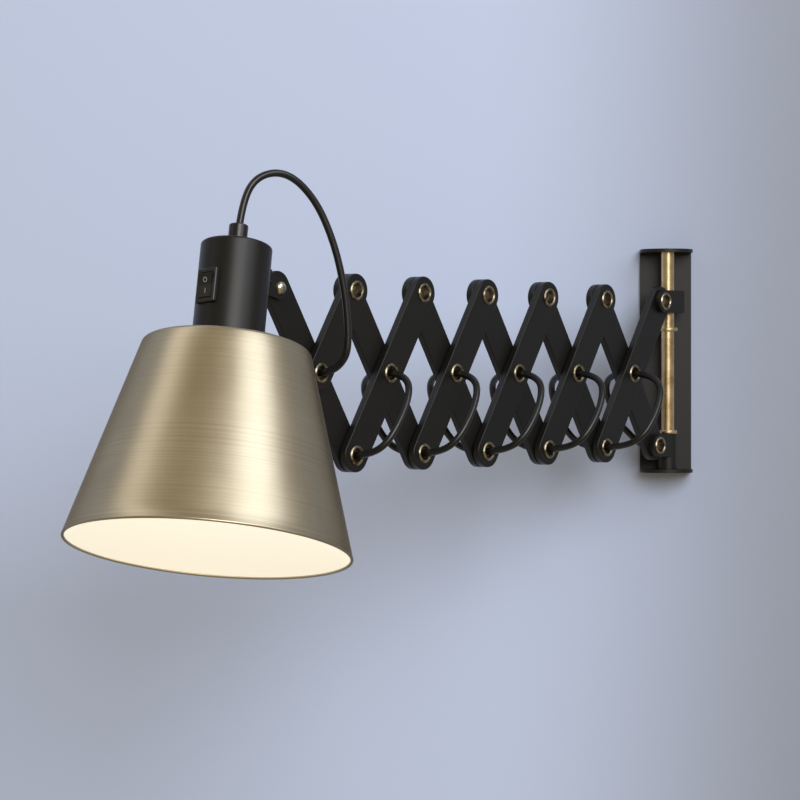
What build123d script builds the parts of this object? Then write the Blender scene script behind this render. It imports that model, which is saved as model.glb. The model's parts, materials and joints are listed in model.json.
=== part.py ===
"""Accordion wall lamp: wall bracket, scissor arm of flat bars on hollow rivets, tilting head with a cone shade.

Row frame: origin on the wall, at the middle of the bracket's back face. +X right, +Z up, -Y away from the wall.
Units are millimetres and degrees. The arm is drawn as it stands in use, part way out and swung to the left.
"""
import os
from math import asin, cos, degrees, radians, sin, tan

from build123d import *

# ---- wall bracket -----------------------------------------------------------------------------------------
PLATE_WIDTH = 37.0
PLATE_HEIGHT = 161.0
PLATE_THICK = 2.2
PLATE_CORNER = 2.0
TAB_THICK = 2.4
TAB_SIDE = 13.0  # straight side of each end tab before its round front
ROD_STANDOFF = 17.0  # wall to rod axis
TAB_LIP = 9.0  # tab beyond the rod axis
ROD_DIA = 9.5
ROD_THREAD_DIA = 4.2
ROD_THREAD_DEPTH = 12.0
ROD_SCREW_DIA = 4.0
ROD_SCREW_HEAD = 8.4
ROD_SCREW_SINK = 1.9
WALL_HOLE_SPACING = 96.0
WALL_HOLE_DIA = 5.2
UPPER_COLLAR_DIA = 14.6
UPPER_COLLAR_THICK = 2.7
UPPER_COLLAR_TOP = 24.0  # stops the slider on its way down
LOWER_COLLAR_DIA = 13.8
LOWER_COLLAR_THICK = 2.6
COLLAR_EDGE = 0.7

# ---- scissor arm ------------------------------------------------------------------------------------------
CELLS = 6
BAR_PITCH = 122.0  # end pivot to end pivot; the middle pivot halves it
BAR_WIDTH = 21.2
BAR_THICK = 5.0
BAR_GAP = 0.6  # between the crossed bars, filled by a washer
BAR_EDGE = 0.7
OPEN_ANGLE = 32.6  # each bar from the vertical, as drawn
SWING_ANGLE = 40.5  # arm from the wall's normal, to the left
FOLDED_ANGLE = 11.6
EXTENDED_ANGLE = 40.2
SWING_LIMIT = 75.0
LOWER_PIVOT_Z = -60.5
PIVOT_REACH = 17.8  # rod axis to the first pins
BAR_OFFSET = 2.0  # crossed bars' meeting plane in front of the rod axis

# ---- hollow rivets, washers -------------------------------------------------------------------------------
EYELET_DIA = 10.0
EYELET_BORE = 8.6
EYELET_RIM_DIA = 12.4
EYELET_RIM = 1.2
EYELET_BACK_RIM = 0.9
WASHER_DIA = 15.0
PIN_CLEARANCE = 0.05  # radial, pin or sleeve in its hole
FACE_CLEARANCE = 0.1  # between turning flat faces

# ---- sleeves on the rod -----------------------------------------------------------------------------------
SLEEVE_DIA = 13.4
LUG_RADIUS = 8.0
SLIDER_LUG_THICK = 3.2
SLIDER_NECK = 11.0  # width of the neck from the slider's sleeve to its lug
LOWER_LUG_THICK = 4.0
LUG_GAP = 0.3  # lug to bar

# ---- lamp head --------------------------------------------------------------------------------------------
HEAD_TILT = 14.3  # as drawn, mouth outward
HEAD_LEAN = 6.2  # as drawn, turned about the ear screw
HEAD_REACH = 39.6  # rivet to the head's own axis
TILT_IN = 14.0
TILT_OUT = 75.0
TURN_LIMIT = 40.0
EAR_THICK = 2.0
EAR_RADIUS = 7.0
EAR_WIDTH = 15.6  # flange, across the arm
EAR_TOP = 7.6
EAR_BOTTOM = -10.4
EAR_GAP = 0.2
RIVET_DIA = 6.0
RIVET_HEAD_DIA = 8.2
RIVET_HEAD = 2.4
RIVET_TAIL = 1.4
EAR_SCREW_DIA = 3.0
EAR_SCREW_HEAD_DIA = 5.6
EAR_SCREW_HEAD = 2.0
EAR_SCREW_SIDE = 4.9  # in front of the lug
EAR_SCREW_Z = -1.4
EAR_NUT_WIDTH = 5.5
EAR_NUT = 2.4
HOUSING_DIA = 43.0
HOUSING_WALL = 1.5
HOUSING_ROOF = 2.0
HOUSING_TOP = 15.2  # above the rivet
HOUSING_EDGE = 1.6
SHADE_TOP = -48.4
SHADE_HEIGHT = 122.0
SHADE_TOP_DIA = 100.0
SHADE_MOUTH_DIA = 170.0
SHADE_WALL = 1.2
SHADE_HEM = 1.8
SHADE_SHOULDER = 3.0
SHADE_GAP = 0.5  # shade's hole round the lampholder
RELIEF_DIA = 11.6
RELIEF_HEIGHT = 13.0
RELIEF_EDGE = 0.8
CORD_IN_RELIEF = 0.3
CARRIER_DIA = 10.0
CARRIER_BORE = 7.0
HOLDER_DIA = 38.0
HOLDER_CAP = -28.0
HOLDER_SHOULDER = 6.0
HOLDER_MOUTH = -72.0
HOLDER_BORE = 27.0
RING_DIA = 52.0
RING_THICK = 7.0
BULB_DIA = 60.0
BULB_BOTTOM = -144.0
BULB_NECK_DIA = 27.6
BULB_CAP_DIA = 26.4
BULB_CAP_LENGTH = 25.0

# ---- switch -----------------------------------------------------------------------------------------------
SWITCH_Z = -15.6
SWITCH_WIDTH = 15.0
SWITCH_HEIGHT = 21.0
SWITCH_RIM = 2.4
SWITCH_SEAT = 0.9  # how deep the bezel's seat is cut into the round housing
SWITCH_BODY_WIDTH = 12.8
SWITCH_BODY_HEIGHT = 18.6
SWITCH_BODY_DEPTH = 12.0
ROCKER_WIDTH = 9.6
ROCKER_HEIGHT = 15.6
ROCKER_SINK = 2.0  # rocking axis below the bezel's face
ROCKER_RISE = 2.2  # valley of the rocker above its axis
ROCKER_DEPTH = 3.0
ROCKER_THROW = 14.0
ROCKER_GAP = 0.25
ROCKER_PIN_DIA = 2.2
ROCKER_PIN = 0.9

# ---- cord -------------------------------------------------------------------------------------------------
CORD_DIA = 4.5
GROMMET_DIA = 11.0
GROMMET_LIP = 1.4
GROMMET_NECK = 8.4
GROMMET_X = -11.0
GROMMET_Z = -67.0
FRONT_LOOP_FIRST = 36.0  # how far the front loops stand out, from the bars' meeting plane
FRONT_LOOP_STEP = 1.75  # each next loop stands out this much less
BACK_LOOP = 26.0
LOOP_LEAVES = (0.21, 0.98)  # share of the way between the pins, share of the stand-out
LOOP_RETURNS = (0.77, 1.0)
LOOP_DROPS = 0.6
CORD_IN_HEAD = 14.5  # where the cord's end sits in the carrier tube, above the rivet

# ---- worked out from the values above ---------------------------------------------------------------------
cell = BAR_PITCH * sin(radians(OPEN_ANGLE))
rise = BAR_PITCH * cos(radians(OPEN_ANGLE))
meeting = -BAR_OFFSET
front_back_face = meeting - BAR_GAP / 2
front_face = front_back_face - BAR_THICK
back_front_face = meeting + BAR_GAP / 2
back_face = back_front_face + BAR_THICK
bar_hole = EYELET_DIA / 2 + PIN_CLEARANCE
cord_radius = CORD_DIA / 2
housing_radius = HOUSING_DIA / 2

# Arm plane: x runs out along the arm from the rod, y is up, z points to the arm's back.
arm_out = Vector(-sin(radians(SWING_ANGLE)), -cos(radians(SWING_ANGLE)), 0)
arm_back = Vector(-cos(radians(SWING_ANGLE)), sin(radians(SWING_ANGLE)), 0)
arm_front = -arm_back
up = Vector(0, 0, 1)
rod_foot = Vector(0, -ROD_STANDOFF, 0)
ARM = Plane(origin=rod_foot, x_dir=arm_out, z_dir=arm_back)


def top_pivot(index):
    """Upper pin of a column, counted from the wall, as arm-plane x and y."""
    return (PIVOT_REACH + index * cell, LOWER_PIVOT_Z + rise)


def mid_pivot(index):
    return (PIVOT_REACH + (index + 0.5) * cell, LOWER_PIVOT_Z + rise / 2)


def low_pivot(index):
    return (PIVOT_REACH + index * cell, LOWER_PIVOT_Z)


def arm_point(x, y, depth=0.0):
    """A point of the arm plane, depth counted toward the arm's back."""
    return ARM.from_local_coords((x, y, depth))


def pin_plane(pivot):
    """Half-section plane of a pin: x is radial, y runs to the arm's back."""
    return Plane(origin=arm_point(*pivot), x_dir=arm_out, z_dir=-up)


def save(piece, name):
    piece.part.label = name
    export_step(piece.part, f"parts/{name}.step")


os.makedirs("parts", exist_ok=True)

# ===========================================================================================================
# Wall bracket: a plate with a D-shaped tab at each end that holds the rod
# ===========================================================================================================
plate_half = PLATE_HEIGHT / 2
tab_top_inner = plate_half - TAB_THICK
tab_front = ROD_STANDOFF + TAB_LIP

with BuildPart() as back_plate:
    with BuildSketch(Plane.XZ) as plate_face:
        RectangleRounded(PLATE_WIDTH, PLATE_HEIGHT, PLATE_CORNER)
    extrude(amount=PLATE_THICK)
    for tab_base in (plate_half - TAB_THICK, -plate_half):
        with BuildSketch(Plane.XY.offset(tab_base)):
            with BuildLine():
                Line((PLATE_WIDTH / 2, 0), (PLATE_WIDTH / 2, -TAB_SIDE))
                ThreePointArc((PLATE_WIDTH / 2, -TAB_SIDE), (0, -tab_front), (-PLATE_WIDTH / 2, -TAB_SIDE))
                Line((-PLATE_WIDTH / 2, -TAB_SIDE), (-PLATE_WIDTH / 2, 0))
                Line((-PLATE_WIDTH / 2, 0), (PLATE_WIDTH / 2, 0))
            make_face()
        extrude(amount=TAB_THICK)
    with BuildSketch(Plane.XZ):
        with GridLocations(0, WALL_HOLE_SPACING, 1, 2):
            Circle(WALL_HOLE_DIA / 2)
        with Locations((GROMMET_X, GROMMET_Z)):
            Circle(GROMMET_NECK / 2)
    extrude(amount=PLATE_THICK, mode=Mode.SUBTRACT)
    for face_z, direction in ((plate_half, 1), (-plate_half, -1)):
        with Locations(Plane(origin=(0, -ROD_STANDOFF, face_z), z_dir=(0, 0, direction))):
            CounterSinkHole(
                radius=ROD_SCREW_DIA / 2 + PIN_CLEARANCE,
                counter_sink_radius=ROD_SCREW_HEAD / 2 + PIN_CLEARANCE,
                depth=TAB_THICK,
                counter_sink_angle=90,
            )
save(back_plate, "back_plate")

rod_length = 2 * tab_top_inner
with BuildPart() as guide_rod:
    with BuildSketch(Plane.XY.offset(-rod_length / 2)):
        with Locations((0, -ROD_STANDOFF)):
            Circle(ROD_DIA / 2)
    extrude(amount=rod_length)
    for end in (-1, 1):
        with BuildSketch(Plane.XY.offset(end * rod_length / 2)):
            with Locations((0, -ROD_STANDOFF)):
                Circle(ROD_THREAD_DIA / 2)
        extrude(amount=-end * ROD_THREAD_DEPTH, mode=Mode.SUBTRACT)
save(guide_rod, "guide_rod")

# Countersunk screws, flush with the tabs
with BuildPart() as rod_screws:
    for end in (-1, 1):
        with BuildSketch(Plane(origin=rod_foot, x_dir=(1, 0, 0), z_dir=(0, -1, 0))) as screw_half:
            with BuildLine():
                Polyline(
                    (0, end * plate_half),
                    (ROD_SCREW_HEAD / 2, end * plate_half),
                    (ROD_SCREW_DIA / 2, end * (plate_half - (ROD_SCREW_HEAD - ROD_SCREW_DIA) / 2)),
                    (ROD_SCREW_DIA / 2, end * (tab_top_inner - ROD_THREAD_DEPTH + 1)),
                    (0, end * (tab_top_inner - ROD_THREAD_DEPTH + 1)),
                    close=True,
                )
            make_face()
        revolve(axis=Axis(rod_foot, (0, 0, 1)))
save(rod_screws, "rod_screws")


# Two collars fixed on the rod: the slider's lower stop and the swing sleeve's upper stop
sleeve_top = LOWER_PIVOT_Z + LUG_RADIUS
lower_collar_low = sleeve_top + FACE_CLEARANCE
with BuildPart() as rod_collars:
    for collar_dia, low, thick in (
        (UPPER_COLLAR_DIA, UPPER_COLLAR_TOP - UPPER_COLLAR_THICK, UPPER_COLLAR_THICK),
        (LOWER_COLLAR_DIA, lower_collar_low, LOWER_COLLAR_THICK),
    ):
        with BuildSketch(Plane.XY.offset(low)):
            with Locations((0, -ROD_STANDOFF)):
                Circle(collar_dia / 2)
                Circle(ROD_DIA / 2, mode=Mode.SUBTRACT)
        extrude(amount=thick)
    outer_edges = rod_collars.edges().filter_by(GeomType.CIRCLE).filter_by(lambda edge: edge.radius > ROD_DIA * 0.6)
    fillet(outer_edges, COLLAR_EDGE)
save(rod_collars, "rod_collars")

# Rubber grommet where the lead passes through the plate
with BuildPart() as cord_grommet:
    with BuildSketch(Plane(origin=(GROMMET_X, 0, GROMMET_Z), x_dir=(1, 0, 0), z_dir=(0, 0, 1))):
        with BuildLine():
            Polyline(
                (cord_radius + PIN_CLEARANCE, 0),
                (GROMMET_NECK / 2 - PIN_CLEARANCE, 0),
                (GROMMET_NECK / 2 - PIN_CLEARANCE, -PLATE_THICK),
                (GROMMET_DIA / 2, -PLATE_THICK),
                (GROMMET_DIA / 2 - 0.5, -PLATE_THICK - GROMMET_LIP),
                (cord_radius + PIN_CLEARANCE, -PLATE_THICK - GROMMET_LIP),
                close=True,
            )
        make_face()
    revolve(axis=Axis((GROMMET_X, 0, GROMMET_Z), (0, 1, 0)))
save(cord_grommet, "cord_grommet")

# ===========================================================================================================
# Sleeves on the rod
# ===========================================================================================================
rod_bore = ROD_DIA / 2 + PIN_CLEARANCE
eyelet_fit = EYELET_DIA / 2 + PIN_CLEARANCE
lower_lug_back = back_front_face - LUG_GAP
lower_lug_front = lower_lug_back - LOWER_LUG_THICK
slider_lug_back = front_face - LUG_GAP
slider_lug_front = slider_lug_back - SLIDER_LUG_THICK
sleeve_low = -tab_top_inner + FACE_CLEARANCE


def sleeve(low, high, lug_front, lug_thick, lug_pivot, neck_from):
    """A sleeve round the rod with a flat lug that carries a bar's pin."""
    with BuildPart() as body:
        with BuildSketch(Plane.XY.offset(low)):
            with Locations((0, -ROD_STANDOFF)):
                Circle(SLEEVE_DIA / 2)
        extrude(amount=high - low)
        lug_plane = ARM.offset(lug_front)
        with BuildSketch(lug_plane):
            with Locations(lug_pivot):
                Circle(LUG_RADIUS)
            with Locations((lug_pivot[0] / 2, lug_pivot[1])):
                Rectangle(lug_pivot[0], 2 * LUG_RADIUS)
        extrude(amount=lug_thick)
        if neck_from < 0:
            with BuildSketch(lug_plane):
                with Locations((0, lug_pivot[1])):
                    Rectangle(SLIDER_NECK, 2 * LUG_RADIUS)
            extrude(amount=-lug_front)
        with BuildSketch(Plane.XY.offset(low)):
            with Locations((0, -ROD_STANDOFF)):
                Circle(rod_bore)
        extrude(amount=high - low, mode=Mode.SUBTRACT)
        with BuildSketch(lug_plane):
            with Locations(lug_pivot):
                Circle(eyelet_fit)
        extrude(amount=lug_thick, mode=Mode.SUBTRACT)
    return body


lower_sleeve = sleeve(sleeve_low, sleeve_top, lower_lug_front, LOWER_LUG_THICK, low_pivot(0), 0)
save(lower_sleeve, "lower_sleeve")
slider_pivot = top_pivot(0)
upper_slider = sleeve(
    slider_pivot[1] - LUG_RADIUS,
    slider_pivot[1] + LUG_RADIUS,
    slider_lug_front,
    SLIDER_LUG_THICK,
    slider_pivot,
    slider_lug_front,
)
save(upper_slider, "upper_slider")

# ===========================================================================================================
# Scissor bars: back bars lean out at the top, front bars lean back to the wall
# ===========================================================================================================


def bar(face_depth, centre, angle, pins, half_top=False):
    """A flat bar with round ends, laid in the arm plane with its front face at the given depth."""
    with BuildPart() as strip:
        with BuildSketch(ARM.offset(face_depth)):
            with Locations(Location((*centre, 0), (0, 0, angle))):
                SlotCenterToCenter(BAR_PITCH / 2 if half_top else BAR_PITCH, BAR_WIDTH)
        extrude(amount=BAR_THICK)
        fillet(strip.faces().sort_by(SortBy.AREA)[-2:].edges(), BAR_EDGE)
        with BuildSketch(ARM.offset(face_depth)):
            for pin, radius in pins:
                with Locations(pin):
                    Circle(radius)
        extrude(amount=BAR_THICK, mode=Mode.SUBTRACT)
    return strip


rivet_hole = RIVET_DIA / 2 + PIN_CLEARANCE
back_bars = []
front_bars = []
for index in range(CELLS):
    last = index == CELLS - 1
    middle = mid_pivot(index)
    back_pins = [
        (low_pivot(index), bar_hole),
        (middle, bar_hole),
        (top_pivot(index + 1), rivet_hole if last else bar_hole),
    ]
    back_bars.append(bar(back_front_face, middle, 90 - OPEN_ANGLE, back_pins))
    save(back_bars[index], f"back_bar_{index + 1}")
    upper = top_pivot(index)
    if last:
        centre = ((middle[0] + upper[0]) / 2, (middle[1] + upper[1]) / 2)
        front_pins = [(middle, bar_hole), (upper, bar_hole)]
    else:
        centre = middle
        front_pins = [(low_pivot(index + 1), bar_hole), (middle, bar_hole), (upper, bar_hole)]
    front_bars.append(bar(front_face, centre, 90 + OPEN_ANGLE, front_pins, half_top=last))
    save(front_bars[index], "front_half_bar" if last else f"front_bar_{index + 1}")

# ===========================================================================================================
# Hollow rivets and the washers between the bars
# ===========================================================================================================


def eyelet(pivot, front, back):
    """Hollow rivet round a pin axis, flared at the front and rolled over behind."""
    rim = EYELET_RIM_DIA / 2
    bore = EYELET_BORE / 2
    tube = EYELET_DIA / 2
    tail = back + FACE_CLEARANCE
    with BuildSketch(pin_plane(pivot)) as section:
        with BuildLine():
            Polyline(
                (bore, tail + EYELET_BACK_RIM),
                (bore, front - EYELET_RIM * 0.45),
                (bore + 0.55, front - EYELET_RIM),
                (rim - 0.6, front - EYELET_RIM),
                (rim, front - EYELET_RIM * 0.5),
                (rim, front),
                (tube, front),
                (tube, tail),
                (rim, tail),
                (rim - 0.4, tail + EYELET_BACK_RIM),
                close=True,
            )
        make_face()
    revolve(section.sketch, axis=Axis(arm_point(*pivot), arm_back))


with BuildPart() as slider_eyelet:
    eyelet(top_pivot(0), slider_lug_front, front_back_face)
save(slider_eyelet, "slider_eyelet")

with BuildPart() as sleeve_eyelet:
    eyelet(low_pivot(0), lower_lug_front, back_face)
save(sleeve_eyelet, "sleeve_eyelet")

for index in range(CELLS):
    last = index == CELLS - 1
    pins = [mid_pivot(index)]
    if index > 0:
        pins.append(top_pivot(index))
    if not last:
        pins.append(low_pivot(index + 1))
    with BuildPart() as eyelets:
        for pin in pins:
            eyelet(pin, front_face, back_face)
    save(eyelets, f"eyelets_{index + 1}")
    with BuildPart() as washers:
        with BuildSketch(ARM.offset(front_back_face)):
            for pin in pins:
                with Locations(pin):
                    Circle(WASHER_DIA / 2)
                    Circle(eyelet_fit, mode=Mode.SUBTRACT)
        extrude(amount=BAR_GAP - FACE_CLEARANCE)
    save(washers, f"washers_{index + 1}")

# ===========================================================================================================
# Lamp head. Ear plane and head plane share the rivet as origin: x outward, y to the arm's front, z up
# ===========================================================================================================
rivet_origin = arm_point(*top_pivot(CELLS), meeting)
UPRIGHT = Plane(origin=rivet_origin, x_dir=arm_out, z_dir=up)
EAR = Plane(UPRIGHT.location * Rot(0, -HEAD_TILT, 0))
HEAD = Plane(EAR.location * Rot(HEAD_LEAN, 0, 0))
flange_face = HEAD_REACH - housing_radius - EAR_GAP
ear_back = -(BAR_GAP / 2 - EAR_GAP)  # in head y, just in front of the last back bar


def side_plane(base, offset):
    """Plane of a head frame seen from the arm's front, at the given y: its x is outward and its y is up."""
    shifted = base.origin + base.y_dir * offset
    return Plane(origin=shifted, x_dir=base.x_dir, z_dir=-base.y_dir)


def outward_plane(base, offset):
    """Plane square to a head frame's x, at the given x: its x runs across the arm and its y is up."""
    shifted = base.origin + base.x_dir * offset
    return Plane(origin=shifted, x_dir=base.y_dir, z_dir=base.x_dir)


def axis_plane(base):
    """Half-section plane through the head's own axis: x is radial, y is up."""
    return Plane(origin=base.origin + base.x_dir * HEAD_REACH, x_dir=base.x_dir, z_dir=-base.y_dir)


def head_axis():
    return Axis(HEAD.origin + HEAD.x_dir * HEAD_REACH, HEAD.z_dir)


ear_screw_at = (EAR_SCREW_SIDE, EAR_SCREW_Z)
ear_mid = (EAR_TOP + EAR_BOTTOM) / 2
ear_height = EAR_TOP - EAR_BOTTOM
with BuildPart() as ear_bracket:
    with BuildSketch(side_plane(EAR, ear_back)):
        Circle(EAR_RADIUS)
        with Locations((flange_face / 2, 0)):
            Rectangle(flange_face, 2 * EAR_RADIUS)
    extrude(amount=-EAR_THICK)
    with BuildSketch(outward_plane(EAR, flange_face)):
        with Locations((0, ear_mid)):
            RectangleRounded(EAR_WIDTH, ear_height, 2.0)
    extrude(amount=-EAR_THICK)
    with BuildSketch(side_plane(EAR, ear_back)):
        Circle(rivet_hole)
    extrude(amount=-EAR_THICK, mode=Mode.SUBTRACT)
    with BuildSketch(outward_plane(EAR, flange_face)):
        with Locations(ear_screw_at):
            Circle(EAR_SCREW_DIA / 2 + PIN_CLEARANCE)
    extrude(amount=-EAR_THICK, mode=Mode.SUBTRACT)
save(ear_bracket, "ear_bracket")

# Rivet with a domed front head and a flat tail behind the last bar
dome = RIVET_HEAD_DIA / 2
ear_front = meeting - ear_back - EAR_THICK
rivet_tail = back_face + FACE_CLEARANCE
with BuildPart() as pivot_rivet:
    with BuildSketch(pin_plane(top_pivot(CELLS))):
        with BuildLine():
            ThreePointArc(
                (0, ear_front - RIVET_HEAD),
                (dome * 0.72, ear_front - RIVET_HEAD * 0.7),
                (dome, ear_front),
            )
            Polyline(
                (dome, ear_front),
                (RIVET_DIA / 2, ear_front),
                (RIVET_DIA / 2, rivet_tail),
                (dome, rivet_tail),
                (dome - 0.5, rivet_tail + RIVET_TAIL),
                (0, rivet_tail + RIVET_TAIL),
                (0, ear_front - RIVET_HEAD),
            )
        make_face()
    revolve(axis=Axis(rivet_origin, arm_back))
save(pivot_rivet, "pivot_rivet")

# Screw through the ear into the housing wall; the head turns about it
screw_tip = flange_face + EAR_GAP + HOUSING_WALL + EAR_NUT + 2.4
ear_screw_head = flange_face - EAR_THICK - FACE_CLEARANCE
with BuildPart() as ear_screw:
    with BuildSketch(outward_plane(EAR, ear_screw_head)):
        with Locations(ear_screw_at):
            Circle(EAR_SCREW_HEAD_DIA / 2)
    extrude(amount=-EAR_SCREW_HEAD)
    fillet(ear_screw.edges().filter_by(GeomType.CIRCLE).sort_by(Axis(EAR.origin, EAR.x_dir))[0], 0.7)
    with BuildSketch(outward_plane(EAR, ear_screw_head)):
        with Locations(ear_screw_at):
            Circle(EAR_SCREW_DIA / 2)
    extrude(amount=screw_tip - ear_screw_head)
    with BuildSketch(outward_plane(EAR, ear_screw_head - EAR_SCREW_HEAD)):
        with Locations(ear_screw_at):
            Rectangle(EAR_SCREW_HEAD_DIA * 0.62, 0.8)
            Rectangle(0.8, EAR_SCREW_HEAD_DIA * 0.62)
    extrude(amount=0.9, mode=Mode.SUBTRACT)

# Its nut seats where its far corner meets the housing's round inner wall
nut_reach = EAR_SCREW_SIDE + EAR_NUT_WIDTH / 2
inner_radius = housing_radius - HOUSING_WALL
nut_face = HEAD_REACH - (inner_radius**2 - (nut_reach + 0.3) ** 2) ** 0.5
with ear_screw:
    with BuildSketch(outward_plane(EAR, nut_face)):
        with Locations(ear_screw_at):
            RegularPolygon(EAR_NUT_WIDTH / 2, 6, major_radius=False)
    extrude(amount=EAR_NUT)
save(ear_screw, "ear_screw")

# Housing: a cup, open at the bottom, with a flat seat and a window for the switch
bezel_seat = HEAD_REACH + housing_radius - SWITCH_SEAT
with BuildPart() as housing:
    with BuildSketch(axis_plane(HEAD)):
        with BuildLine():
            FilletPolyline(
                (CARRIER_DIA / 2, HOUSING_TOP),
                (housing_radius, HOUSING_TOP),
                (housing_radius, SHADE_TOP),
                (inner_radius, SHADE_TOP),
                (inner_radius, HOUSING_TOP - HOUSING_ROOF),
                (CARRIER_DIA / 2, HOUSING_TOP - HOUSING_ROOF),
                radius=[HOUSING_EDGE, 0.3, 0.3, 1.0],
            )
            Line((CARRIER_DIA / 2, HOUSING_TOP - HOUSING_ROOF), (CARRIER_DIA / 2, HOUSING_TOP))
        make_face()
    revolve(axis=head_axis())
    with BuildSketch(outward_plane(HEAD, bezel_seat)):
        with Locations((0, SWITCH_Z)):
            Rectangle(SWITCH_WIDTH + 2 * FACE_CLEARANCE, SWITCH_HEIGHT + 2 * FACE_CLEARANCE)
    extrude(amount=HOUSING_WALL, mode=Mode.SUBTRACT)
    with BuildSketch(outward_plane(HEAD, bezel_seat)):
        with Locations((0, SWITCH_Z)):
            Rectangle(SWITCH_BODY_WIDTH + 2 * PIN_CLEARANCE, SWITCH_BODY_HEIGHT + 2 * PIN_CLEARANCE)
    extrude(amount=-2 * HOUSING_WALL, mode=Mode.SUBTRACT)
    with BuildSketch(outward_plane(EAR, flange_face)):
        with Locations(ear_screw_at):
            Circle(EAR_SCREW_DIA / 2)
    extrude(amount=2 * HOUSING_WALL + EAR_NUT, mode=Mode.SUBTRACT)
save(housing, "housing")

relief_top = HOUSING_TOP + RELIEF_HEIGHT
tube_top = HOUSING_TOP + RELIEF_HEIGHT * 0.5
relief_bore = cord_radius + CORD_IN_RELIEF
with BuildPart() as strain_relief:
    with BuildSketch(axis_plane(HEAD)):
        with BuildLine():
            FilletPolyline(
                (relief_bore, tube_top),
                (relief_bore, relief_top),
                (RELIEF_DIA / 2, relief_top),
                (RELIEF_DIA / 2, HOUSING_TOP),
                (CARRIER_DIA / 2, HOUSING_TOP),
                (CARRIER_DIA / 2, tube_top),
                radius=[0.6, RELIEF_EDGE, 0.2, 0.2],
            )
            Line((CARRIER_DIA / 2, tube_top), (relief_bore, tube_top))
        make_face()
    revolve(axis=head_axis())
save(strain_relief, "strain_relief")


def head_ring(inner_dia, outer_dia, low, high):
    """A plain tube round the head's axis, between two heights."""
    with BuildPart() as tube:
        with BuildSketch(Plane(HEAD.location * Pos(HEAD_REACH, 0, low))):
            Circle(outer_dia / 2)
            Circle(inner_dia / 2, mode=Mode.SUBTRACT)
        extrude(amount=high - low)
    return tube


carrier_tube = head_ring(CARRIER_BORE, CARRIER_DIA, HOLDER_CAP, tube_top)
save(carrier_tube, "carrier_tube")

# Lampholder: a stepped cup with its mouth down
holder_radius = HOLDER_DIA / 2
socket_floor = HOLDER_MOUTH + BULB_CAP_LENGTH
with BuildPart() as lampholder:
    with BuildSketch(axis_plane(HEAD)):
        with BuildLine():
            Polyline(
                (0, HOLDER_CAP),
                (holder_radius - HOLDER_SHOULDER, HOLDER_CAP),
                (holder_radius, HOLDER_CAP - HOLDER_SHOULDER),
                (holder_radius, HOLDER_MOUTH),
                (HOLDER_BORE / 2, HOLDER_MOUTH),
                (HOLDER_BORE / 2, socket_floor),
                (0, socket_floor),
                close=True,
            )
        make_face()
    revolve(axis=head_axis())
save(lampholder, "lampholder")

shade_low = SHADE_TOP - SHADE_HEIGHT
shade_slope = (SHADE_MOUTH_DIA - SHADE_TOP_DIA) / 2 / SHADE_HEIGHT
shade_wall_across = SHADE_WALL * (1 + shade_slope**2) ** 0.5
shade_hole = holder_radius + SHADE_GAP
shade_under = SHADE_TOP - SHADE_WALL
with BuildPart() as shade:
    with BuildSketch(axis_plane(HEAD)):
        with BuildLine():
            FilletPolyline(
                (shade_hole, SHADE_TOP),
                (SHADE_TOP_DIA / 2, SHADE_TOP),
                (SHADE_MOUTH_DIA / 2, shade_low),
                (SHADE_MOUTH_DIA / 2 - shade_wall_across, shade_low),
                (SHADE_TOP_DIA / 2 + shade_slope * SHADE_WALL - shade_wall_across, shade_under),
                (shade_hole, shade_under),
                radius=[SHADE_SHOULDER, 0.4, 0.4, SHADE_SHOULDER - SHADE_WALL],
            )
            Line((shade_hole, shade_under), (shade_hole, SHADE_TOP))
        make_face()
        with Locations((SHADE_MOUTH_DIA / 2 - SHADE_HEM / 2, shade_low + SHADE_HEM / 2)):
            Circle(SHADE_HEM / 2)
    revolve(axis=head_axis())
save(shade, "shade")

shade_ring = head_ring(HOLDER_DIA, RING_DIA, shade_under - RING_THICK, shade_under)
with shade_ring:
    fillet(shade_ring.edges().filter_by(GeomType.CIRCLE).sort_by(SortBy.RADIUS)[-2:], 1.0)
save(shade_ring, "shade_ring")

bulb_radius = BULB_DIA / 2
bulb_centre = BULB_BOTTOM + bulb_radius
neck = BULB_NECK_DIA / 2
neck_join = bulb_centre + bulb_radius * 0.8
with BuildPart() as bulb_glass:
    with BuildSketch(axis_plane(HEAD)):
        with BuildLine():
            Line((0, BULB_BOTTOM), (0, HOLDER_MOUTH))
            Line((0, HOLDER_MOUTH), (BULB_CAP_DIA / 2, HOLDER_MOUTH))
            Line((BULB_CAP_DIA / 2, HOLDER_MOUTH), (neck, HOLDER_MOUTH - 3))
            Line((neck, HOLDER_MOUTH - 3), (bulb_radius * 0.6, neck_join))
            ThreePointArc((bulb_radius * 0.6, neck_join), (bulb_radius, bulb_centre), (0, BULB_BOTTOM))
        make_face()
    revolve(axis=head_axis())
save(bulb_glass, "bulb_glass")

with BuildPart() as bulb_base:
    with BuildSketch(Plane(HEAD.location * Pos(HEAD_REACH, 0, HOLDER_MOUTH))):
        Circle(BULB_CAP_DIA / 2)
    extrude(amount=BULB_CAP_LENGTH)
save(bulb_base, "bulb_base")

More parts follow.
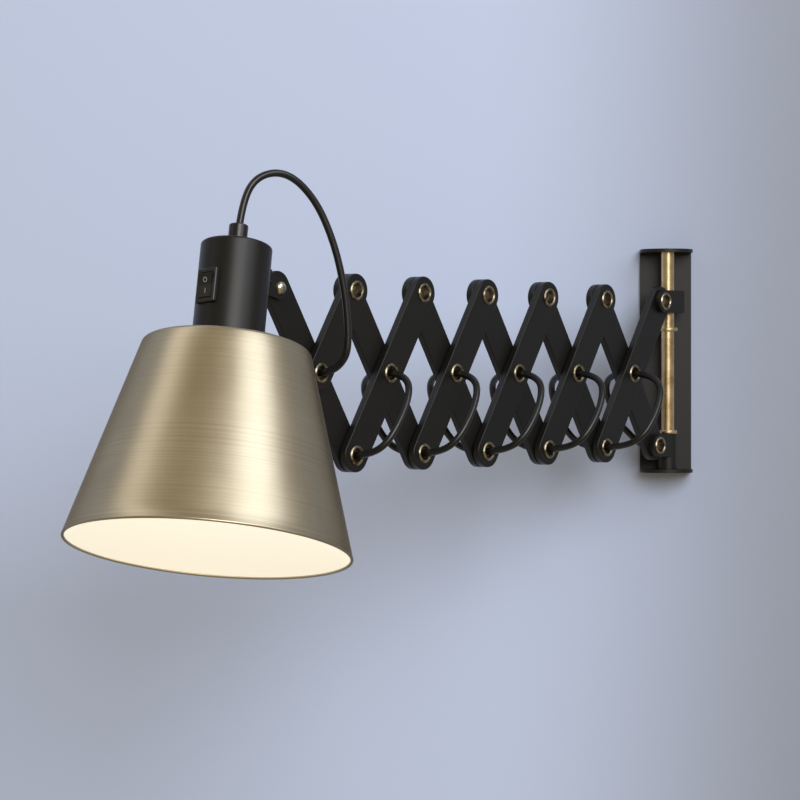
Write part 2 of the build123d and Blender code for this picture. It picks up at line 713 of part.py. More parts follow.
# ===========================================================================================================
# Switch: bezel and body in one, and a rocker on two side pins
# ===========================================================================================================
bezel_face = bezel_seat + SWITCH_RIM
rock_axis = bezel_face - ROCKER_SINK
end_radius = ROCKER_HEIGHT / 2
half_throw = ROCKER_THROW / 2
deep_end = asin(ROCKER_DEPTH / end_radius) + radians(half_throw)
pocket_depth = end_radius * sin(deep_end) + ROCKER_GAP
pocket_length = ROCKER_HEIGHT + 2 * ROCKER_GAP
pocket_width = ROCKER_WIDTH + 2 * ROCKER_GAP
with BuildPart() as switch_body:
    with BuildSketch(outward_plane(HEAD, bezel_seat)):
        with Locations((0, SWITCH_Z)):
            RectangleRounded(SWITCH_WIDTH, SWITCH_HEIGHT, 0.8)
    extrude(amount=SWITCH_RIM)
    chamfer(switch_body.faces().sort_by(Axis(HEAD.origin, HEAD.x_dir))[-1].edges(), 0.5)
    with BuildSketch(outward_plane(HEAD, bezel_seat)):
        with Locations((0, SWITCH_Z)):
            Rectangle(SWITCH_BODY_WIDTH, SWITCH_BODY_HEIGHT)
    extrude(amount=-SWITCH_BODY_DEPTH)
    with BuildSketch(outward_plane(HEAD, rock_axis - pocket_depth)):
        with Locations((0, SWITCH_Z)):
            Rectangle(pocket_width, pocket_length)
    extrude(amount=pocket_depth + ROCKER_SINK, mode=Mode.SUBTRACT)
    pin_length = ROCKER_WIDTH + 2 * ROCKER_PIN + 2 * FACE_CLEARANCE
    with BuildSketch(side_plane(HEAD, pin_length / 2)):
        with Locations((rock_axis, SWITCH_Z)):
            Circle(ROCKER_PIN_DIA / 2 + PIN_CLEARANCE)
    extrude(amount=pin_length, mode=Mode.SUBTRACT)
save(switch_body, "switch_body")

# Rocker at rest with its lower end pressed in; its ends are arcs about the rocking axis
slope = tan(radians(half_throw))
tip = (-slope * ROCKER_RISE + (end_radius**2 * (1 + slope**2) - ROCKER_RISE**2) ** 0.5) / (1 + slope**2)
tip_height = ROCKER_RISE + slope * tip
foot = (end_radius**2 - ROCKER_DEPTH**2) ** 0.5
ROCK = Plane(HEAD.location * Pos(rock_axis, 0, SWITCH_Z) * Rot(0, half_throw, 0))
with BuildPart() as switch_rocker:
    with BuildSketch(side_plane(ROCK, ROCKER_WIDTH / 2)):
        with BuildLine():
            Polyline((tip_height, tip), (ROCKER_RISE, 0), (tip_height, -tip))
            ThreePointArc((tip_height, -tip), (0, -end_radius), (-ROCKER_DEPTH, -foot))
            Line((-ROCKER_DEPTH, -foot), (-ROCKER_DEPTH, foot))
            ThreePointArc((-ROCKER_DEPTH, foot), (0, end_radius), (tip_height, tip))
        make_face()
    extrude(amount=ROCKER_WIDTH)
    with BuildSketch(side_plane(ROCK, ROCKER_WIDTH / 2 + ROCKER_PIN)):
        Circle(ROCKER_PIN_DIA / 2)
    extrude(amount=ROCKER_WIDTH + 2 * ROCKER_PIN)
save(switch_rocker, "switch_rocker")

# ===========================================================================================================
# Cord: one round cord in lengths that meet face to face inside the hollow rivets
# ===========================================================================================================


def cord(points, name):
    """A round cord along straight runs and tangent arcs; each arc takes 0.45 of its shorter run."""
    route = [Vector(*point) for point in points]
    bends = []
    turned = 0.0
    for before, corner, after in zip(route, route[1:], route[2:]):
        half_turn = radians((corner - before).get_angle(after - corner)) / 2
        tangent = 0.45 * min((corner - before).length, (after - corner).length)
        bends.append(tangent / tan(half_turn))
        turned += 2 * tangent - 2 * half_turn * bends[-1]
    with BuildPart() as length_of_cord:
        with BuildLine() as path:
            FilletPolyline(*route, radius=bends)
        with BuildSketch(Plane(origin=route[0], z_dir=route[1] - route[0])):
            Circle(cord_radius)
        sweep()
    straight = sum((after - before).length for before, after in zip(route, route[1:]))
    section = 3.141593 * cord_radius**2
    ratio = length_of_cord.part.volume / (section * (straight - turned))
    print(f"{name}: {straight - turned:.1f} mm, tightest bend {min(bends):.1f} mm, volume ratio {ratio:.4f}")
    save(length_of_cord, name)


def head_point(x, y, z):
    return HEAD.from_local_coords((x, y, z))


def loop(start, finish, stand_out):
    """A loop from one pin to the next: out of the first eyelet, along, and back into the second."""
    along = ((0, 0), (0, 0.5), LOOP_LEAVES, LOOP_RETURNS, (1, LOOP_DROPS), (1, 0))
    route = []
    for share, height in along:
        x = start[0] + share * (finish[0] - start[0])
        y = start[1] + share * (finish[1] - start[1])
        route.append(arm_point(x, y, meeting - height * stand_out))
    return route


# Wall end: from the grommet, round the lower sleeve and up behind the first bar
lead_turn = arm_point(31, -41.5, 24)
wall_turn = Vector(-25.5, -23.8, -55)
lead_meet = (lead_turn + wall_turn) / 2
cord(
    [lead_meet, wall_turn, (-15, -18.5, -63.5), (GROMMET_X, -9, GROMMET_Z), (GROMMET_X, 0, GROMMET_Z)],
    "cord_wall",
)
first_mid = mid_pivot(0)
cord(
    [
        arm_point(*first_mid, meeting),
        arm_point(*first_mid, 12),
        arm_point(45, -18.5, 23.5),
        lead_turn,
        lead_meet,
    ],
    "cord_lead",
)
for index in range(CELLS):
    if index > 0:
        cord(loop(mid_pivot(index), low_pivot(index), -BACK_LOOP), f"cord_back_{index + 1}")
    if index < CELLS - 1:
        stand_out = FRONT_LOOP_FIRST - index * FRONT_LOOP_STEP
        cord(loop(mid_pivot(index), low_pivot(index + 1), stand_out), f"cord_front_{index + 1}")

# Top arc: out of the strain relief, over and down to the last middle rivet
arc_meet = arm_point(383, 55, -25.75)
cord(
    [
        head_point(HEAD_REACH, 0, CORD_IN_HEAD),
        head_point(HEAD_REACH, 0, 37),
        arm_point(434, 108.5, -2),
        arm_point(415.5, 113, -11),
        arm_point(397, 97, -18),
        arm_point(386, 70, -24),
        arc_meet,
    ],
    "cord_arc_head",
)
last_mid = mid_pivot(CELLS - 1)
cord(
    [
        arc_meet,
        arm_point(380, 40, -27.5),
        arm_point(378, 14, -28.5),
        arm_point(378.8, 0, -27.5),
        arm_point(*last_mid, -15.2),
        arm_point(*last_mid, meeting),
    ],
    "cord_arc_arm",
)
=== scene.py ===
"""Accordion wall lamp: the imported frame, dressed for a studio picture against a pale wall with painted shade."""
import json
from math import atan2, cos, pi, radians, sin, tan

import bmesh
import bpy
from mathutils import Matrix, Vector


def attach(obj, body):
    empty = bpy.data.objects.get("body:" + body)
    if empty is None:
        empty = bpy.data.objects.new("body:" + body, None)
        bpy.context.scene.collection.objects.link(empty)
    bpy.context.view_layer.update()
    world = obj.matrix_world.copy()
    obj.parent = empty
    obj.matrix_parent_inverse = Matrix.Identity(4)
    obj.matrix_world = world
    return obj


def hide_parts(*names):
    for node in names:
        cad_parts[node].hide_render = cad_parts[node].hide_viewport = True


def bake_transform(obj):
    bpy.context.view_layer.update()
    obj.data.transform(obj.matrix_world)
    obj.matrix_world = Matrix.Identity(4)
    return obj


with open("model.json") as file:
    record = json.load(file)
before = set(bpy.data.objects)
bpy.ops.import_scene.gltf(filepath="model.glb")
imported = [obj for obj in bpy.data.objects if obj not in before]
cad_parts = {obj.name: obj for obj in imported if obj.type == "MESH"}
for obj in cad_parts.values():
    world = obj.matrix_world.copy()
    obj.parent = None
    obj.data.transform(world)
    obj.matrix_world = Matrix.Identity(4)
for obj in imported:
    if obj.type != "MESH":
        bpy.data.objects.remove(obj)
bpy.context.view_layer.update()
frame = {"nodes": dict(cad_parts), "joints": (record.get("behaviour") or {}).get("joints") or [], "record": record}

MM = 0.001
joints = {joint["name"]: joint for joint in frame["joints"]}

# ---- the arm's and the head's own axes, from the frame's joints -------------------------------------------
UP = Vector((0, 0, 1))
ARM_FRONT = Vector(joints["arm_extend"]["axis"])
ARM_OUT = ARM_FRONT.cross(UP)
ROD_FOOT = Vector(joints["arm_swing"]["pos_m"])
HEAD_PIVOT = Vector(joints["head_tilt"]["pos_m"])
HEAD_OUT = Vector(joints["head_turn"]["axis"])
HEAD_SIDE = Vector(joints["switch_rock"]["axis"])
HEAD_UP = HEAD_OUT.cross(HEAD_SIDE)
ROCKER_PIVOT = Vector(joints["switch_rock"]["pos_m"])

# ---- sizes shared with the solids, in millimetres ---------------------------------------------------------
BAR_PITCH = 122.0  # between the end pins of a bar
OPEN_ANGLE = radians(32.6)  # each bar from the vertical
PIVOT_REACH = 17.8  # rod's axis to the first pins
LOWER_PIVOT_Z = -60.5
BAR_MEETING = -2.0  # depth of the plane between the crossed bars, in front of the rod's axis
CELLS = 6
CORD_DIA = 4.5
FRONT_LOOP_FIRST = 36.0  # how far the first front loop stands out of the meeting plane
FRONT_LOOP_STEP = 1.75  # each loop toward the head stands out this much less
BACK_LOOP = 26.0  # how far each back length stands out behind
HEAD_REACH = 39.6  # head's rivet to the head's own axis
SHADE_TOP = -48.4  # height from the head's rivet, along the head
SHADE_HEIGHT = 122.0
SHADE_TOP_DIA = 100.0
SHADE_MOUTH_DIA = 170.0
SHADE_WALL = 1.2
SHADE_HEM = 1.8
SHADE_SHOULDER = 3.0
SHADE_HOLE_DIA = 39.0
ROCKER_RISE = 2.2  # rocking axis to the valley of the rocker's face
ROCKER_THROW = radians(14.0)

cell = BAR_PITCH * sin(OPEN_ANGLE)
rise = BAR_PITCH * cos(OPEN_ANGLE)


def arm_point(out, height, depth):
    """A point of the arm, in millimetres from the rod's axis; depth counts toward the arm's back."""
    return ROD_FOOT + (ARM_OUT * out + UP * height - ARM_FRONT * depth) * MM


def head_point(out, side, height):
    """A point of the head, in millimetres from its rivet."""
    return HEAD_PIVOT + (HEAD_OUT * out + HEAD_SIDE * side + HEAD_UP * height) * MM


def mid_pin(index):
    """Out and height of a crossing's pin, counted from the wall."""
    return (PIVOT_REACH + (index + 0.5) * cell, LOWER_PIVOT_Z + rise / 2)


def low_pin(index):
    """Out and height of a lower pin, counted from the wall."""
    return (PIVOT_REACH + index * cell, LOWER_PIVOT_Z)


def new_object(name, data):
    """Makes an object of the data and puts it in the scene."""
    made = bpy.data.objects.new(name, data)
    bpy.context.scene.collection.objects.link(made)
    return made


# ===========================================================================================================
# Camera: level, square to the wall, at the height of the arm's middle
# ===========================================================================================================
PHOTO_WIDTH = 800
HORIZON_ROW = 377
FOCAL_PIXELS = 2780
SENSOR_MM = 36.0
CAMERA_PLACE = Vector((-192.5, -2017.0, -11.6)) * MM
CAMERA_SEES = 20  # metres


def add_camera():
    data = bpy.data.cameras.new("photo_view")
    data.sensor_width = SENSOR_MM
    data.lens = FOCAL_PIXELS / PHOTO_WIDTH * SENSOR_MM
    data.shift_y = (HORIZON_ROW - PHOTO_WIDTH / 2) / PHOTO_WIDTH
    data.clip_end = CAMERA_SEES
    camera = new_object("photo_view", data)
    camera.location = CAMERA_PLACE
    camera.rotation_euler = (pi / 2, 0, 0)
    bpy.context.scene.camera = camera


# ===========================================================================================================
# Materials
# ===========================================================================================================
RIM_PAINTED_GLOW = 70.0  # how far up from its rim the painted glow on the enamel is warmer, in millimetres


def linear(hex_colour):
    """sRGB hex to linear RGBA."""
    channels = [int(hex_colour[i : i + 2], 16) / 255 for i in (1, 3, 5)]
    return [c / 12.92 if c <= 0.04045 else ((c + 0.055) / 1.055) ** 2.4 for c in channels] + [1.0]


def add(tree, kind, values=None, links=None, **settings):
    """Adds a node with its settings, its sockets' values and its links."""
    made = tree.nodes.new(kind)
    for name, value in settings.items():
        setattr(made, name, value)
    for socket, value in (values or {}).items():
        made.inputs[socket].default_value = value
    for socket, source in (links or {}).items():
        tree.links.new(source, made.inputs[socket])
    return made


def new_material(name):
    """A material with its node tree, its shader and the place of each surface point on its object."""
    material = bpy.data.materials.new(name)
    material.use_nodes = True
    tree = material.node_tree
    place = add(tree, "ShaderNodeTexCoord").outputs["Object"]
    return material, tree, tree.nodes["Principled BSDF"], place


def distance_along(tree, place, axis):
    """How far a surface point lies along an axis, in metres."""
    return add(tree, "ShaderNodeVectorMath", {1: axis}, {0: place}, operation="DOT_PRODUCT").outputs["Value"]


def grains(tree, place, size_mm, detail=2.0):
    """A noise with grains of about a size."""
    scale = 1 / (size_mm * MM)
    return add(tree, "ShaderNodeTexNoise", {"Scale": scale, "Detail": detail}, {"Vector": place}).outputs[0]


def turning_lines(tree, along, size_mm, detail=2.0):
    """A noise that changes along one axis only, so that it draws lines round it."""
    scale = 1 / (size_mm * MM)
    return add(tree, "ShaderNodeTexNoise", {"Scale": scale, "Detail": detail}, {"W": along},
               noise_dimensions="1D").outputs[0]


def remap(tree, value, low, high, start=0.0, end=1.0, **settings):
    """Takes a value from start..end to low..high."""
    ends = {"From Min": start, "From Max": end, "To Min": low, "To Max": high}
    return add(tree, "ShaderNodeMapRange", ends, {"Value": value}, **settings).outputs[0]


def blend_colours(tree, factor, first, second):
    """A mix of two sRGB colours."""
    mix = add(tree, "ShaderNodeMix", links={0: factor}, data_type="RGBA")
    mix.inputs[6].default_value = linear(first)
    mix.inputs[7].default_value = linear(second)
    return mix.outputs[2]


def finish_surface(tree, shader, height, strength, depth_mm, roughness=None):
    """Gives the shader a fine relief, and a roughness that varies with it."""
    bump = add(tree, "ShaderNodeBump", {"Strength": strength, "Distance": depth_mm * MM}, {"Height": height})
    tree.links.new(bump.outputs[0], shader.inputs["Normal"])
    if roughness is not None:
        tree.links.new(roughness, shader.inputs["Roughness"])


def powder_coat(name, base, worn, roughness):
    """Epoxy powder coat, sprayed and baked: an even black with a fine orange-peel skin and a soft sheen."""
    material, tree, shader, place = new_material(name)
    shader.inputs["Specular IOR Level"].default_value = 0.38
    peel = grains(tree, place, 0.5, 3.0)
    cloud = grains(tree, place, 22, 4.0)
    tree.links.new(blend_colours(tree, cloud, base, worn), shader.inputs["Base Color"])
    sheen = remap(tree, peel, roughness - 0.06, roughness + 0.06)
    finish_surface(tree, shader, peel, 0.06, 0.1, sheen)
    return material


def turned_metal(name, bright, dark, roughness, line_mm, axis=UP, patches_mm=9.0):
    """Metal turned on a lathe and left to age: fine rings across its axis and a faint cloudy tarnish."""
    material, tree, shader, place = new_material(name)
    shader.inputs["Metallic"].default_value = 1.0
    rings = turning_lines(tree, distance_along(tree, place, axis), line_mm)
    tarnish = grains(tree, place, patches_mm, 5.0)
    share = remap(tree, tarnish, 0.0, 1.0, start=0.42, end=0.68)
    tree.links.new(blend_colours(tree, share, bright, dark), shader.inputs["Base Color"])
    rough = remap(tree, rings, roughness - 0.07, roughness + 0.1)
    finish_surface(tree, shader, rings, 0.03, 0.02, rough)
    return material


def antique_brass():
    """Spun brass, brushed round, antiqued and lacquered: fine broken rings, browner at the grazing edges."""
    material, tree, shader, place = new_material("antique_brushed_brass")
    shader.inputs["Metallic"].default_value = 1.0
    shader.inputs["Specular Tint"].default_value = linear("#8C7C68")
    shader.inputs["Coat Weight"].default_value = 0.5
    shader.inputs["Coat Roughness"].default_value = 0.45
    along = distance_along(tree, place, HEAD_UP)
    # brush lines are about 0.2 mm apart; drawn at 0.35 and 1.6 mm so that they show
    fine = turning_lines(tree, along, 0.35)
    broad = turning_lines(tree, along, 1.6, 3.0)
    # each stroke fades out round the cone, so the rings are broken by a slow noise
    stretch = grains(tree, place, 30, 3.0)
    strokes = add(tree, "ShaderNodeMath", links={0: broad, 1: stretch}, operation="MULTIPLY").outputs[0]
    both = add(tree, "ShaderNodeMath", {1: 0.3}, {0: fine, 2: strokes}, operation="MULTIPLY_ADD").outputs[0]
    share = remap(tree, both, 0.0, 1.0, start=0.2, end=0.6)
    tree.links.new(blend_colours(tree, share, "#B4A88E", "#C6BBA2"), shader.inputs["Base Color"])
    finish_surface(tree, shader, fine, 0.05, 0.03, remap(tree, both, 0.31, 0.38))
    return material


def enamel_with_painted_glow():
    """Sprayed cream enamel with a painted glow standing in for the bulb's light: it glows evenly and a little
    warmer near the rim.
    """
    material, tree, shader, place = new_material("cream_enamel_with_painted_glow")
    shader.inputs["Roughness"].default_value = 0.55
    # painted light: this emission stands in for the bulb's light falling on the enamel
    shader.inputs["Emission Strength"].default_value = 0.66
    rim = head_point(HEAD_REACH, 0, SHADE_TOP - SHADE_HEIGHT).dot(HEAD_UP)
    depth = distance_along(tree, place, HEAD_UP)
    share = remap(tree, depth, 0.0, 1.0, start=rim, end=rim + RIM_PAINTED_GLOW * MM)
    tree.links.new(blend_colours(tree, share, "#FBF3E0", "#FFFAF0"), shader.inputs["Emission Color"])
    shader.inputs["Base Color"].default_value = linear("#B9B5A8")
    finish_surface(tree, shader, grains(tree, place, 1.2), 0.05, 0.1)
    return material


def moulded_plastic(name, base, light, roughness, grain_mm):
    """Injection-moulded plastic: one through colour and the fine spark-eroded grain of its mould."""
    material, tree, shader, place = new_material(name)
    grain = grains(tree, place, grain_mm, 4.0)
    tree.links.new(blend_colours(tree, grain, base, light), shader.inputs["Base Color"])
    rough = remap(tree, grain, roughness - 0.05, roughness + 0.08)
    finish_surface(tree, shader, grain, 0.08, 0.05, rough)
    return material


def opal_glass():
    """Opal lamp glass, lit from inside: an even warm white with a soft gloss."""
    material, tree, shader, place = new_material("opal_bulb_glass")
    shader.inputs["Roughness"].default_value = 0.25
    shader.inputs["Emission Strength"].default_value = 1.0
    cloud = grains(tree, place, 25)
    tree.links.new(blend_colours(tree, cloud, "#FFF3D8", "#FFFBEF"), shader.inputs["Emission Color"])
    shader.inputs["Base Color"].default_value = linear("#F7F1E4")
    return material


MATERIALS = {
    "black_powder_coated_aluminium": powder_coat("powder_coated_aluminium", "#0B0B0A", "#131211", 0.40),
    "black_powder_coated_steel": powder_coat("powder_coated_steel", "#0B0B0A", "#141312", 0.46),
    "antique_brushed_brass": antique_brass(),
    "polished_brass": turned_metal("polished_brass", "#D9C4A0", "#B89F78", 0.30, 0.6),
    "brass_screw": turned_metal("brass_screw", "#CDB886", "#8F7A50", 0.3, 0.4),
    "aged_brass_rivet": turned_metal("aged_brass_eyelet", "#A79C86", "#4F4638", 0.32, 0.5, ARM_FRONT, 3.0),
    "nickel_plated_steel": turned_metal("nickel_plated_steel", "#D6CFBE", "#8C8473", 0.22, 0.5, ARM_FRONT,
                                        2.5),
    "nickel_plated_brass": turned_metal("nickel_plated_brass", "#CFCBC0", "#9A958A", 0.25, 0.5, HEAD_UP),
    "zinc_plated_steel": turned_metal("zinc_plated_steel", "#C6C9CC", "#8E9296", 0.3, 0.5, HEAD_UP),
    "black_oxide_screw": turned_metal("black_oxide_steel", "#3A3A3D", "#232326", 0.35, 0.4, HEAD_OUT, 2.0),
    "black_pvc_cord": moulded_plastic("black_pvc_sheath", "#0C0C0D", "#161617", 0.30, 1.2),
    "black_gloss_plastic": moulded_plastic("black_nylon_gland", "#0E0E10", "#1A1A1D", 0.24, 0.8),
    "black_switch_plastic": moulded_plastic("black_abs_switch", "#101011", "#1C1C1E", 0.34, 0.3),
    "black_bakelite": moulded_plastic("black_bakelite", "#141312", "#1F1D1B", 0.3, 0.6),
    "black_rubber": moulded_plastic("black_rubber", "#121212", "#1A1A1A", 0.7, 0.4),
    "washer_nylon": moulded_plastic("black_nylon_washer", "#151515", "#202020", 0.5, 0.4),
    "opal_bulb_glass": opal_glass(),
}


def dress_nodes():
    """Each node of the frame takes the material of its slot in the record."""
    for part in frame["record"]["subparts"]:
        node = frame["nodes"][part["node"]]
        node.data.materials.clear()
        node.data.materials.append(MATERIALS[part["material_slot"]])


# ===========================================================================================================
# Cord: one 4.5 mm cord in lengths that meet inside the hollow rivets
# ===========================================================================================================
CORD_SPAN_STEPS = 10  # steps between two control points
CORD_ROUND_STEPS = 5
LOOP_SHARES = ((0, 0), (0, 0.5), (0.21, 0.98), (0.77, 1.0), (1, 0.6), (1, 0))  # of the way, of the stand-out


def cord_curve(name, points, bevel):
    """One open spline with the route's own control points."""
    curve = bpy.data.curves.new(name, "CURVE")
    curve.dimensions = "3D"
    curve.resolution_u = CORD_SPAN_STEPS
    curve.bevel_depth = bevel
    curve.bevel_resolution = CORD_ROUND_STEPS
    curve.use_fill_caps = True
    spline = curve.splines.new("NURBS")
    spline.points.add(len(points) - 1)
    for control, place in zip(spline.points, points):
        control.co = (*place, 1)
    spline.order_u = 3
    spline.use_endpoint_u = True
    curve.materials.append(MATERIALS["black_pvc_cord"])
    return new_object(name, curve)


def curve_mesh(made):
    """The curve as a mesh."""
    bpy.context.view_layer.update()
    graph = bpy.context.evaluated_depsgraph_get()
    return bpy.data.meshes.new_from_object(made.evaluated_get(graph))


def declare(node):
    """Hides the solid that the length stands for."""
    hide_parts(node)


def riding_cord(node, points, body):
    """A loop that keeps its shape and rides on one bar."""
    piece = cord_curve(f"{node}_sheath", points, CORD_DIA / 2 * MM)
    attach(piece, body)
    declare(node)


def bending_cord(node, points):
    """A length of cord made into a fixed mesh along its route; it is attached to no body."""
    tube = cord_curve(f"{node}_route", points, CORD_DIA / 2 * MM)
    mesh = curve_mesh(tube)
    tube.data.bevel_depth = 0
    centre = [vertex.co.copy() for vertex in curve_mesh(tube).vertices]
    bpy.data.objects.remove(tube)
    piece = new_object(f"{node}_sheath", mesh)
    for polygon in mesh.polygons:
        polygon.use_smooth = True
    declare(node)
    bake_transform(piece)


def loop_points(start, finish, stand_out):
    """Out of one hollow rivet, along the bar and back into the next."""
    return [
        arm_point(
            start[0] + along * (finish[0] - start[0]),
            start[1] + along * (finish[1] - start[1]),
            BAR_MEETING - out * stand_out,
        )
        for along, out in LOOP_SHARES
    ]


def add_cords():
    for index in range(CELLS - 1):
        reach = FRONT_LOOP_FIRST - index * FRONT_LOOP_STEP
        points = loop_points(mid_pin(index), low_pin(index + 1), reach)
        riding_cord(f"cord_front_{index + 1}", points, f"front_link_{index + 1}")
    for index in range(1, CELLS):
        points = loop_points(mid_pin(index), low_pin(index), -BACK_LOOP)
        riding_cord(f"cord_back_{index + 1}", points, f"back_link_{index + 1}")

    # the ends of the cord: the points of the solids' own routes
    lead_turn = arm_point(31, -41.5, 24)
    wall_turn = Vector((-25.5, -23.8, -55)) * MM
    lead_meet = (lead_turn + wall_turn) / 2
    first_mid = mid_pin(0)
    wall_route = [
        lead_meet,
        wall_turn,
        Vector((-15, -18.5, -63.5)) * MM,
        Vector((-11, -9, -67)) * MM,
        Vector((-11, 0, -67)) * MM,
    ]
    bending_cord("cord_wall", wall_route)
    lead_route = [
        lead_meet,
        lead_turn,
        arm_point(45, -18.5, 23.5),
        arm_point(*first_mid, 12),
        arm_point(*first_mid, BAR_MEETING),
    ]
    bending_cord("cord_lead", lead_route)

    arc_meet = arm_point(383, 55, -25.75)
    head_route = [
        head_point(HEAD_REACH, 0, 14.5),
        head_point(HEAD_REACH, 0, 37),
        arm_point(434, 108.5, -2),
        arm_point(415.5, 113, -11),
        arm_point(397, 97, -18),
        arm_point(386, 70, -24),
        arc_meet,
    ]
    bending_cord("cord_arc_head", head_route)
    last_mid = mid_pin(CELLS - 1)
    arm_route = [
        arc_meet,
        arm_point(380, 40, -27.5),
        arm_point(378, 14, -28.5),
        arm_point(378.8, 0, -27.5),
        arm_point(*last_mid, -15.2),
        arm_point(*last_mid, BAR_MEETING),
    ]
    bending_cord("cord_arc_arm", arm_route)


# ===========================================================================================================
# Shade: a spun cone, brushed brass outside and enamelled inside, with a rolled hem
# ===========================================================================================================
ROUND_STEPS = 192  # faces round the shade
SIDE_STEPS = 16
TOP_STEPS = 4
BEND_STEPS = 6
HEM_STEPS = 14
HEM_START = radians(40)
HEM_END = radians(-215)
SHARP_EDGE = radians(40)
WELD_M = 1e-6


def arc_points(centre, radius, start, end, steps):
    """Points on an arc of a (radius, height) section, from one angle to another."""
    angles = [start + (end - start) * step / steps for step in range(steps + 1)]
    return [(centre[0] + radius * cos(angle), centre[1] + radius * sin(angle)) for angle in angles]


def spread(first, last, steps):
    """Evenly spaced points after the first of a straight run, so that the faces stay square."""
    return [
        (first[0] + (last[0] - first[0]) * step / steps, first[1] + (last[1] - first[1]) * step / steps)
        for step in range(1, steps + 1)
    ]


def shade_faces():
    """The shade's section in two runs of (radius, height): the outer face with its hem, and the inner face."""
    low = SHADE_TOP - SHADE_HEIGHT
    # how far the side turns down from level
    fall = atan2(SHADE_HEIGHT, (SHADE_MOUTH_DIA - SHADE_TOP_DIA) / 2)
    setback = SHADE_SHOULDER * tan(fall / 2)
    centre = (SHADE_TOP_DIA / 2 - setback, SHADE_TOP - SHADE_SHOULDER)
    hem = SHADE_HEM / 2
    bead = (SHADE_MOUTH_DIA / 2 - hem, low + hem)
    hole = SHADE_HOLE_DIA / 2
    outer_bend = arc_points(centre, SHADE_SHOULDER, pi / 2, pi / 2 - fall, BEND_STEPS)
    inner_bend = arc_points(centre, SHADE_SHOULDER - SHADE_WALL, pi / 2 - fall, pi / 2, BEND_STEPS)
    rolled = arc_points(bead, hem, HEM_START, HEM_END, HEM_STEPS)
    outer = [(hole, SHADE_TOP - SHADE_WALL), (hole, SHADE_TOP)]
    outer += spread(outer[-1], outer_bend[0], TOP_STEPS) + outer_bend[1:]
    outer += spread(outer[-1], rolled[0], SIDE_STEPS) + rolled[1:]
    inner = [rolled[-1]] + spread(rolled[-1], inner_bend[0], SIDE_STEPS) + inner_bend[1:]
    inner += spread(inner[-1], outer[0], TOP_STEPS)
    return outer, inner


def spun(name, runs, materials):
    """Spins runs of (radius, height) points round the head's axis, one material to a run."""
    mesh = bpy.data.meshes.new(name)
    build = bmesh.new()
    turns = [2 * pi * step / ROUND_STEPS for step in range(ROUND_STEPS)]
    for index, run in enumerate(runs):
        rings = []
        for radius, height in run:
            rings.append([
                build.verts.new(head_point(HEAD_REACH + radius * cos(turn), radius * sin(turn), height))
                for turn in turns
            ])
        for upper, lower in zip(rings, rings[1:]):
            for step in range(ROUND_STEPS):
                after = (step + 1) % ROUND_STEPS
                face = build.faces.new((upper[step], lower[step], lower[after], upper[after]))
                face.material_index = index
                face.smooth = True
    bmesh.ops.remove_doubles(build, verts=build.verts, dist=WELD_M)
    bmesh.ops.recalc_face_normals(build, faces=build.faces)
    build.to_mesh(mesh)
    build.free()
    mesh.set_sharp_from_angle(angle=SHARP_EDGE)
    for material in materials:
        mesh.materials.append(material)
    return new_object(name, mesh)


def add_shade():
    shade = spun("spun_shade", shade_faces(), [MATERIALS["antique_brushed_brass"], enamel_with_painted_glow()])
    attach(shade, "lamp_head")
    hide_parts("shade")


# ===========================================================================================================
# Printed marks on the rocker: a ring on the raised half, a bar on the pressed half
# ===========================================================================================================
MARK_RING = 1.55  # outer radius
MARK_LINE = 0.42  # width of the printed line
MARK_BAR = 2.9
MARK_PLACE = 3.3  # from the valley, along each half
MARK_PROUD = 0.04
MARK_STEPS = 36


def rocker_face(half):
    """Plane of one half of the rocker's top, at the mark: x across, y along the half, z out of it."""
    tilt = ROCKER_THROW / 2  # the rocker's own tilt at rest, and the slope of each half
    lean = tilt + half * tilt
    along = HEAD_UP * cos(lean) + HEAD_OUT * sin(lean)
    out = HEAD_OUT * cos(lean) - HEAD_UP * sin(lean)
    valley = ROCKER_PIVOT + (HEAD_OUT * cos(tilt) - HEAD_UP * sin(tilt)) * ROCKER_RISE * MM
    centre = valley + along * half * MARK_PLACE * MM
    place = Matrix((HEAD_SIDE, along, out)).transposed().to_4x4()
    place.translation = centre
    return place


def printed_mark(name, outer, inner, place, material):
    """A thin printed shape between two outlines, or inside one."""
    mesh = bpy.data.meshes.new(name)
    build = bmesh.new()
    rim = [build.verts.new((x * MM, y * MM, 0)) for x, y in outer]
    if inner:
        hole = [build.verts.new((x * MM, y * MM, 0)) for x, y in inner]
        for step in range(len(rim)):
            build.faces.new((rim[step - 1], rim[step], hole[step], hole[step - 1]))
    else:
        build.faces.new(rim)
    raised = bmesh.ops.extrude_face_region(build, geom=build.faces[:])["geom"]
    lifted = [item for item in raised if isinstance(item, bmesh.types.BMVert)]
    bmesh.ops.translate(build, verts=lifted, vec=(0, 0, MARK_PROUD * MM))
    bmesh.ops.recalc_face_normals(build, faces=build.faces)
    build.transform(place)
    build.to_mesh(mesh)
    build.free()
    mesh.materials.append(material)
    made = new_object(name, mesh)
    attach(made, "rocker")


def add_rocker_marks():
    ink = moulded_plastic("pale_pad_print", "#9C9C9C", "#B4B4B4", 0.5, 0.4)
    ring = arc_points((0, 0), MARK_RING, 0, 2 * pi, MARK_STEPS)[:-1]
    core = arc_points((0, 0), MARK_RING - MARK_LINE, 0, 2 * pi, MARK_STEPS)[:-1]
    half = MARK_LINE / 2
    bar = [(-half, -MARK_BAR / 2), (half, -MARK_BAR / 2), (half, MARK_BAR / 2), (-half, MARK_BAR / 2)]
    printed_mark("mark_ring", ring, core, rocker_face(1), ink)
    printed_mark("mark_bar", bar, None, rocker_face(-1), ink)


# ===========================================================================================================
# Wall and light
# ===========================================================================================================
WALL_SIZE = 6.0
WALL_GAP = 0.5  # behind the bracket's back face, in millimetres
WALL_PAINTED_SHADE_START_X = -0.14  # painted shade: the wall's colour darkens from here to the next value toward the right, in metres
WALL_PAINTED_SHADE_END_X = 0.13


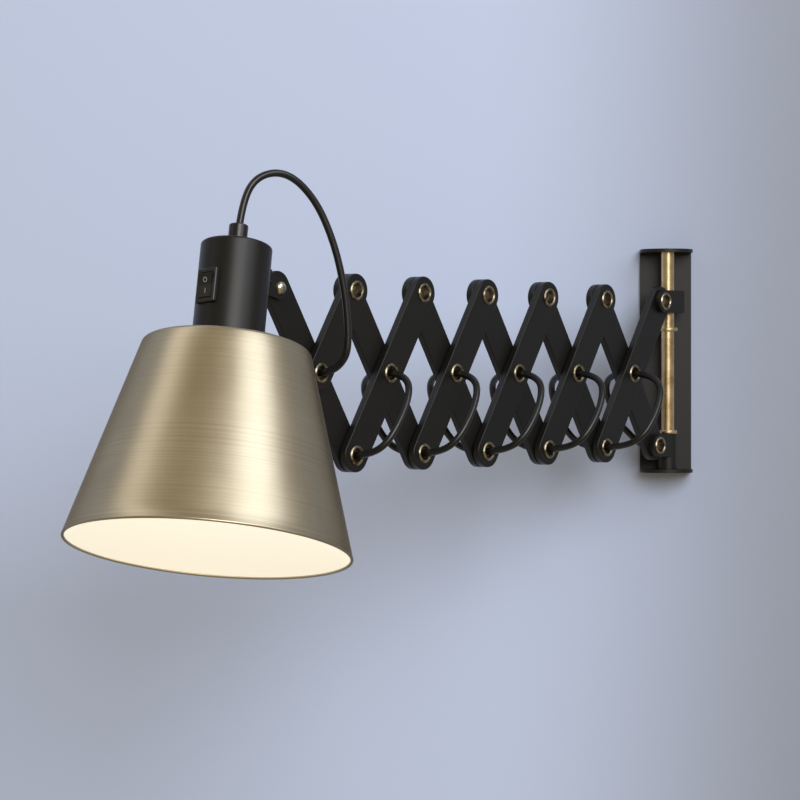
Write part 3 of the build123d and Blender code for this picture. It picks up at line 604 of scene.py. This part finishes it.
def painted_wall():
    """Matte wall paint, a pale blue grey, with painted shade that darkens it toward the right; seen from behind it
    is clear.
    """
    material, tree, shader, place = new_material("wall_paint_with_painted_shade")
    shader.inputs["Roughness"].default_value = 0.9
    shader.inputs["Specular IOR Level"].default_value = 0.1
    across = add(tree, "ShaderNodeSeparateXYZ", links={0: place}).outputs["X"]
    # painted shade: the wall goes from pale blue grey to a darker grey toward the right
    share = remap(tree, across, 0.0, 1.0, start=WALL_PAINTED_SHADE_START_X, end=WALL_PAINTED_SHADE_END_X, interpolation_type="SMOOTHSTEP")
    tree.links.new(blend_colours(tree, share, "#C7D5F5", "#9CA4B7"), shader.inputs["Base Color"])
    behind = add(tree, "ShaderNodeNewGeometry").outputs["Backfacing"]
    clear = add(tree, "ShaderNodeBsdfTransparent").outputs[0]
    shown = add(tree, "ShaderNodeMixShader", links={0: behind, 1: shader.outputs[0], 2: clear}).outputs[0]
    tree.links.new(shown, tree.nodes["Material Output"].inputs["Surface"])
    return material


def add_wall():
    mesh = bpy.data.meshes.new("wall")
    half = WALL_SIZE / 2
    corners = [(-half, -half), (half, -half), (half, half), (-half, half)]
    mesh.from_pydata([(x, WALL_GAP * MM, z) for x, z in corners], [], [(0, 1, 2, 3)])
    mesh.materials.append(painted_wall())
    new_object("wall", mesh)


def softbox(name, target, azimuth, elevation, distance, size, watts, colour, beam=180):
    """A soft light at an azimuth right of the wall's normal and an elevation, in degrees and metres."""
    light = bpy.data.lights.new(name, "AREA")
    light.shape = "RECTANGLE"
    light.size, light.size_y = size
    light.energy = watts
    light.spread = radians(beam)
    light.color = linear(colour)[:3]
    made = new_object(name, light)
    level = cos(radians(elevation))
    away = Vector((level * sin(radians(azimuth)), -level * cos(radians(azimuth)), sin(radians(elevation))))
    made.location = target + away * distance
    made.rotation_euler = (-away).to_track_quat("-Z", "Y").to_euler()


def add_lights():
    lamp = head_point(HEAD_REACH, 0, -80)
    middle = arm_point(180, -20, 0)
    softbox("key_right", lamp, azimuth=60, elevation=40, distance=2.0, size=(1.1, 1.7), watts=3.6,
            colour="#E8F0FF", beam=80)
    softbox("fill_left", lamp, azimuth=-84, elevation=50, distance=1.8, size=(0.6, 1.5), watts=0.7,
            colour="#FBFBFF", beam=80)
    softbox("front", middle, azimuth=15, elevation=22, distance=2.8, size=(1.6, 1.6), watts=47,
            colour="#FFFFFF")
    world = bpy.data.worlds.new("studio")
    world.use_nodes = True
    background = world.node_tree.nodes["Background"]
    background.inputs["Color"].default_value = linear("#C9B999")
    background.inputs["Strength"].default_value = 0.58
    bpy.context.scene.world = world


add_camera()
add_cords()
dress_nodes()
add_shade()
add_rocker_marks()
add_wall()
add_lights()
bpy.context.scene.view_settings.view_transform = "Standard"
